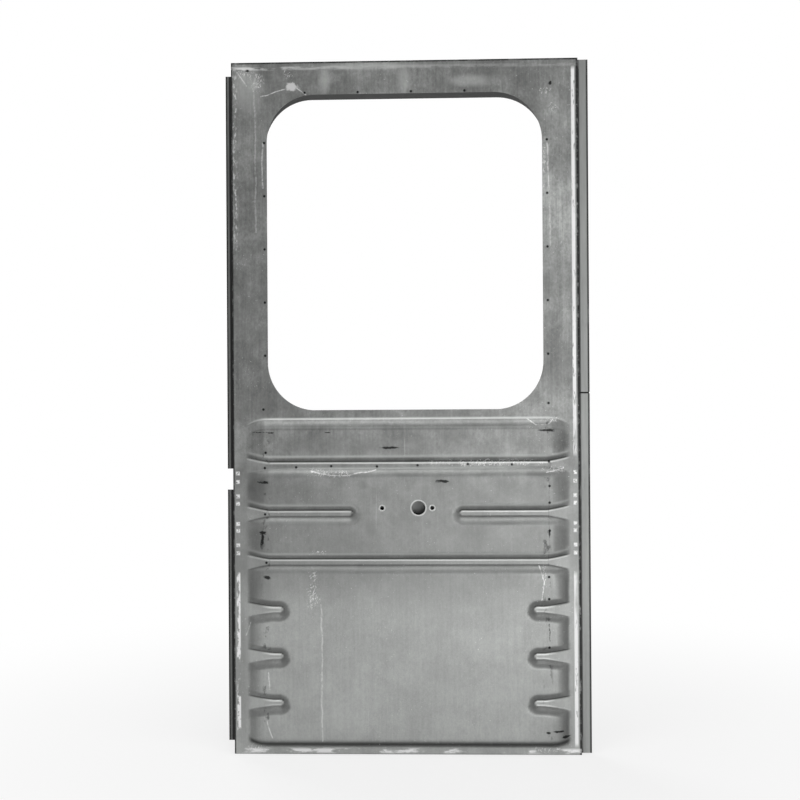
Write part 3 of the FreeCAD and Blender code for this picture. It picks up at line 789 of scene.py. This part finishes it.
def skin_tone(s, cloud, drawn, grain):
    """Light and dark of the bare sheet: large drifts, clouds, drawing lines and grain, and painted light that
    makes it paler lower down and on the right border, so darker higher up.
    """
    broad = s.noise(2.6, 3.0, 0.5, (1, 1, 1), 31.0)
    patchy = s.noise(34, 4.0, 0.65, (1, 1, 1), 32.0)
    # Painted light: paler on the right border and lower down
    lit_border = s.blot(*LIT_RIGHT_BORDER, s.ramp(patchy, 0.3, 0.7, -0.3, 0.3))
    painted_light_level = s.math("MULTIPLY_ADD", lit_border, 0.5, s.slope(s.z, -280, -400, 1.0, 1.48))
    rough_part = s.slope(s.z, -350, 0, 0.25, 1.0)
    mottle = s.math("ADD", s.ramp(cloud, 0.3, 0.7, -0.18, 0.18), s.ramp(patchy, 0.3, 0.7, -0.17, 0.17))
    tone = s.math("MULTIPLY_ADD", mottle, rough_part, 1.0)
    speck = s.noise(260, 3.0, 0.6, (1, 1, 1.6), 38.0)
    fine = s.math("SUBTRACT", s.math("ADD", drawn, speck), 1.0)
    fine = s.math("MULTIPLY_ADD", fine, s.slope(s.z, -200, 100, 0.25, 0.85), 1.0)
    drift = s.ramp(broad, 0.3, 0.7, 0.93, 1.07)
    return s.times(tone, drift, fine, s.ramp(grain, 0.3, 0.7, 0.95, 1.05), painted_light_level)


def skin_steel():
    """Grey bare steel sheet with handling marks, rubbed edges, weld marks and soot, and painted shade and
    highlights along its creases, rim, lock holes and upper part.
    """
    s = Shader("skin_steel")
    cloud = s.noise(14, 5.0, 0.6, (1, 1, 1.3), 33.0)
    drawn = s.noise(170, 3.0, 0.6, (1, 1, 26), 35.0)
    grain = s.noise(700, 2.0, 0.5, (1, 1, 1), 37.0)
    smears, soot_and_shade = stains(s)
    welds, wear, rim_shade = spot_welds(s), edge_wear(s), rim_shade_line(s)
    color = s.gain(grey(SKIN_GREY), skin_tone(s, cloud, drawn, grain))
    crease_shade_and_dirt = s.attribute("crease_shade_and_dirt")
    # Painted layers: soot with painted shade, the painted shade patch, crease shade partly dirt, painted
    # highlights on hole rims and crease edges, and the rim's painted shade line
    layers = ((soot_and_shade, 0.40, grey(0.10)), (s.haze(*PAINTED_SHADE_PATCH), 0.28, grey(0.03)),
              (s.peak(s.haze(*patch) for patch in PALE), 0.42, grey(0.50)), (crease_shade_and_dirt, 1.0, grey(0.015)),
              (hole_rim_highlights(s), 0.40, grey(0.7)), (s.attribute("pale_lines"), 0.85, grey(0.85)),
              (rim_shade, 0.9, grey(0.012)), (wear, 0.9, grey(0.85, 0.0)), (scuffs(s), 0.75, grey(0.80, 0.0)),
              (smears, 1.0, grey(0.008)), (welds, 0.92, grey(0.008)))
    for mask, share, tint in layers:
        color = s.mix(s.times(mask, share), color, tint)
    rough = s.math("MULTIPLY_ADD", wear, 0.15, s.ramp(cloud, 0.25, 0.75, 0.42, 0.52))
    s.bump(s.math("ADD", grain, drawn), 0.5, 0.000024)
    matt = s.most(smears, welds, rim_shade, crease_shade_and_dirt)
    s.feed(s.surface.inputs["Specular IOR Level"], s.math("MULTIPLY_ADD", matt, -0.5, 0.5))
    return s.finish(color, rough, 0.5)


def seal_steel():
    """Dark strip with a paler middle between near-black edges of painted shade: the skin's shadow on its
    inner edge and its shaded outer edge.
    """
    s = Shader("seal_steel")
    cloud = s.noise(16, 5.0, 0.6, (1, 1, 3), 67.0)
    middle = s.band(s.x, *SEAL_PALE, 0.7)
    # Near-black is painted shade; the paler middle is the strip's face
    color = s.mix(s.times(middle, s.ramp(cloud, 0.25, 0.75, 0.65, 1.0)), grey(0.014), grey(0.22))
    s.bump(s.noise(500, 3.0, 0.6, (1, 1, 4), 69.0), 0.4, 0.0001)
    return s.finish(color, s.ramp(cloud, 0.25, 0.75, 0.5, 0.65), 0.3)


def lip_steel():
    """Pale strip with painted shade: a black outer edge and a dark line where it meets the skin."""
    s = Shader("lip_steel")
    cloud = s.noise(16, 5.0, 0.6, (1, 1, 3), 53.0)
    drawn = s.noise(140, 3.0, 0.6, (1, 1, 22), 55.0)
    tone = s.times(s.ramp(cloud, 0.25, 0.75, 0.86, 1.12), s.ramp(drawn, 0.3, 0.7, 0.93, 1.07))
    color = s.gain(grey(0.28), tone)
    # Painted shade: black outer edge and a dark line along the joint with the skin
    edge = s.slope(s.x, LIP_EDGE - 4.2, LIP_EDGE - 2.6)
    joint = s.slope(s.x, RIGHT + 2.0, RIGHT + 4.5, 1.0, 0.0)
    front = s.slope(s.y, -10, -4, 1.0, 0.0)
    color = s.mix(s.times(s.most(edge, joint), front, 0.95), color, grey(0.015))
    color = s.mix(s.times(s.flecks(60, 0.62, 0.05, (1, 1, 4), 57.0), 0.5), color, grey(0.22))
    s.bump(s.math("ADD", s.noise(600, 2.0, 0.5, (1, 1, 1), 59.0), drawn), 0.4, 0.00008)
    return s.finish(color, s.ramp(cloud, 0.25, 0.75, 0.45, 0.6), 0.4)


def plain_steel(name, value, seed, gloss):
    """Sheet steel of the frame: mottled, drawn along its length, with rubbed and dark spots."""
    s = Shader(name)
    cloud = s.noise(11, 5.0, 0.6, (1, 1, 1.5), seed)
    drawn = s.noise(120, 3.0, 0.6, (1, 1, 18), seed + 2)
    grain = s.noise(650, 2.0, 0.5, (1, 1, 1), seed + 4)
    tone = s.times(s.ramp(cloud, 0.25, 0.75, 0.88, 1.1), s.ramp(drawn, 0.3, 0.7, 0.95, 1.05))
    pale_lines = s.flecks(40, 0.66, 0.05, (1, 1, 18), seed + 6)
    dark = s.flecks(12, 0.62, 0.08, (1, 1, 1), seed + 8)
    color = s.mix(s.times(pale_lines, 0.5), s.gain(grey(value), tone), grey(value * 1.8))
    color = s.mix(s.times(dark, 0.4), color, grey(value * 0.4))
    s.bump(s.math("ADD", grain, drawn), 0.4, 0.00006 * gloss)
    return s.finish(color, s.ramp(cloud, 0.25, 0.75, 0.42 / gloss, 0.55 / gloss), 0.5 * gloss)


def dress_nodes():
    """Finish of the pieces that keep their solid's own shape."""
    frame_steel = plain_steel("frame_steel", 0.20, 41.0, 1.0)
    # The window surround's inner wall is painted near-black as shade
    shaded_surround_steel = plain_steel("shaded_surround_steel", 0.07, 47.0, 0.65)
    lip, seal = lip_steel(), seal_steel()
    for name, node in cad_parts.items():
        finish = frame_steel
        if name.startswith("overlap_lip"):
            finish = lip
        elif name == "window_surround":
            finish = shaded_surround_steel
        elif name.startswith("hinge_seal"):
            finish = seal
        node.data.materials.clear()
        node.data.materials.append(finish)


def skin_piece():
    """The pressed skin in place of its plain solid."""
    points, faces, marks = pressed_sheet()
    edge_points, edge_faces = folded_edge(len(points))
    points = np.concatenate([points, edge_points])
    piece = mesh_object("pressed_skin", points, faces + edge_faces, skin_steel())
    for key, values in marks.items():
        layer = piece.data.attributes.new(key, "FLOAT", "POINT")
        layer.data.foreach_set("value", np.concatenate([values, np.zeros(len(edge_points))]))
    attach(piece, "root")
    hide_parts("outer_skin")


# Near-black bead standing for the shadow in the gap between the two lips, millimetres
BEAD_STATIONS, BEAD_SIDES = 13, 12
BEAD_SETBACK, BEAD_DEPTH, BEAD_INSET = 1.2, 0.8, 1.0
BEAD_SWELL = 0.1


def gap_shadow_bead():
    """Near-black bead in the gap between the upper and the lower lip, standing for its shadow."""
    low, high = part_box("overlap_lip_lower")[1] / MM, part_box("overlap_lip_upper")[0] / MM
    turns = np.arange(BEAD_SIDES) * 2 * np.pi / BEAD_SIDES
    z = (low.z + high.z) / 2 + (high.z - low.z) / 2 * np.sin(turns)
    rings = []
    for x in np.linspace(RIGHT, LIP_EDGE - BEAD_INSET, BEAD_STATIONS):
        depth = BEAD_DEPTH * (1 + BEAD_SWELL * np.sin(x))
        y = high.y + BEAD_SETBACK - depth * np.cos(turns)
        rings.append(np.column_stack([np.full(BEAD_SIDES, x), y, z]))
    faces = [tuple(range(BEAD_SIDES))]
    for ring in range(BEAD_STATIONS - 1):
        for side in range(BEAD_SIDES):
            here, after = ring * BEAD_SIDES + side, ring * BEAD_SIDES + (side + 1) % BEAD_SIDES
            faces.append((here, here + BEAD_SIDES, after + BEAD_SIDES, after))
    faces.append(tuple((BEAD_STATIONS - 1) * BEAD_SIDES + side for side in reversed(range(BEAD_SIDES))))
    # Near-black finish as painted shade in the gap
    gap_shade = plain_steel("gap_shade", 0.012, 73.0, 0.6)
    bead = mesh_object("gap_shadow_bead", np.concatenate(rings), faces, gap_shade)
    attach(bead, "root")


# Studio, metres
FLOOR_SIZE = 14.0
FLOOR_DROP = 0.0004
FLOOR_SHADOW = (0.3, 1.6)
FLOOR_GLOW = 0.72
WORLD_GREY, WORLD_STRENGTH = 0.5, 0.62
DOOR_MIDDLE = (MIDDLE * MM, 0, 0)
# Lamps as (name, place, aim, size, watts)
LAMPS = (("front", (1.05, -2.75, -0.32), (0.45, 0, -0.3), (1.5, 0.64), 30),
         ("overhead", (0.4, -0.9, 2.4), DOOR_MIDDLE, (2.2, 1.0), 34),
         ("rear", (-1.5, 2.6, 1.4), DOOR_MIDDLE, (2.0, 2.0), 40))
# Camera: place, turn in degrees, sensor in millimetres, focal length and frame in pixels
CAMERA_PLACE = (0.3755, -2.2, 0.0079)
CAMERA_TURN = (90.142, 0.354, 1.881)
SENSOR = 36.0
FOCAL_PIXELS = 1164.9
FRAME_PIXELS = 800


def add_light(name, place, aim, size, power):
    """Soft rectangular lamp pointed at a place on the door."""
    lamp = bpy.data.lights.new(name, "AREA")
    lamp.shape = "RECTANGLE"
    lamp.size, lamp.size_y = size
    lamp.energy = power
    holder = bpy.data.objects.new(name, lamp)
    holder.location = place
    holder.rotation_euler = (Vector(aim) - Vector(place)).to_track_quat("-Z", "Y").to_euler()
    bpy.context.scene.collection.objects.link(holder)


def white_world():
    """Even grey light on the door, and plain white where the camera looks past it."""
    world = bpy.data.worlds.new("studio")
    bpy.context.scene.world = world
    world.use_nodes = True
    tree = world.node_tree
    soft = tree.nodes["Background"]
    soft.inputs["Color"].default_value = (WORLD_GREY, WORLD_GREY, WORLD_GREY, 1)
    soft.inputs["Strength"].default_value = WORLD_STRENGTH
    white = tree.nodes.new("ShaderNodeBackground")
    white.inputs["Color"].default_value = (1, 1, 1, 1)
    path = tree.nodes.new("ShaderNodeLightPath")
    mix = tree.nodes.new("ShaderNodeMixShader")
    tree.links.new(path.outputs["Is Camera Ray"], mix.inputs["Fac"])
    tree.links.new(soft.outputs[0], mix.inputs[1])
    tree.links.new(white.outputs[0], mix.inputs[2])
    tree.links.new(mix.outputs[0], tree.nodes["World Output"].inputs["Surface"])


def floor_material():
    """White floor that keeps a soft shadow near the door and fades to plain white further out."""
    s = Shader("floor_white")
    tree = s.tree
    s.surface.inputs["Base Color"].default_value = (0.9, 0.9, 0.9, 1)
    s.surface.inputs["Roughness"].default_value = 0.9
    glow = s.node("ShaderNodeEmission")
    path = s.node("ShaderNodeLightPath")
    reach = s.node("ShaderNodeVectorMath", operation="LENGTH")
    tree.links.new(s.place, reach.inputs[0])
    far = s.ramp(reach.outputs["Value"], *FLOOR_SHADOW, FLOOR_GLOW, 1.0)
    share = s.math("MULTIPLY", far, path.outputs["Is Camera Ray"])
    mix = s.node("ShaderNodeMixShader")
    tree.links.new(share, mix.inputs["Fac"])
    tree.links.new(s.surface.outputs[0], mix.inputs[1])
    tree.links.new(glow.outputs[0], mix.inputs[2])
    tree.links.new(mix.outputs[0], tree.nodes["Material Output"].inputs["Surface"])
    return s.material


def add_camera():
    """Camera at the photograph's angle."""
    camera = bpy.data.cameras.new("camera")
    camera.sensor_width = SENSOR
    camera.lens = SENSOR * FOCAL_PIXELS / FRAME_PIXELS
    holder = bpy.data.objects.new("camera", camera)
    holder.location = CAMERA_PLACE
    holder.rotation_euler = Euler([math.radians(angle) for angle in CAMERA_TURN], "XYZ")
    bpy.context.scene.collection.objects.link(holder)
    bpy.context.scene.camera = holder


def studio():
    """Floor, background, lamps and camera."""
    half = FLOOR_SIZE / 2
    mesh = bpy.data.meshes.new("floor")
    corners = [(-half, -half, 0), (half, -half, 0), (half, half, 0), (-half, half, 0)]
    mesh.from_pydata(corners, [], [(0, 1, 2, 3)])
    mesh.materials.append(floor_material())
    floor = bpy.data.objects.new("floor", mesh)
    floor.location = (MIDDLE * MM, 0, BOTTOM * MM - FLOOR_DROP)
    bpy.context.scene.collection.objects.link(floor)
    white_world()
    for lamp in LAMPS:
        add_light(*lamp)
    add_camera()
    bpy.context.scene.view_settings.view_transform = "Standard"


dress_nodes()
skin_piece()
gap_shadow_bead()
studio()
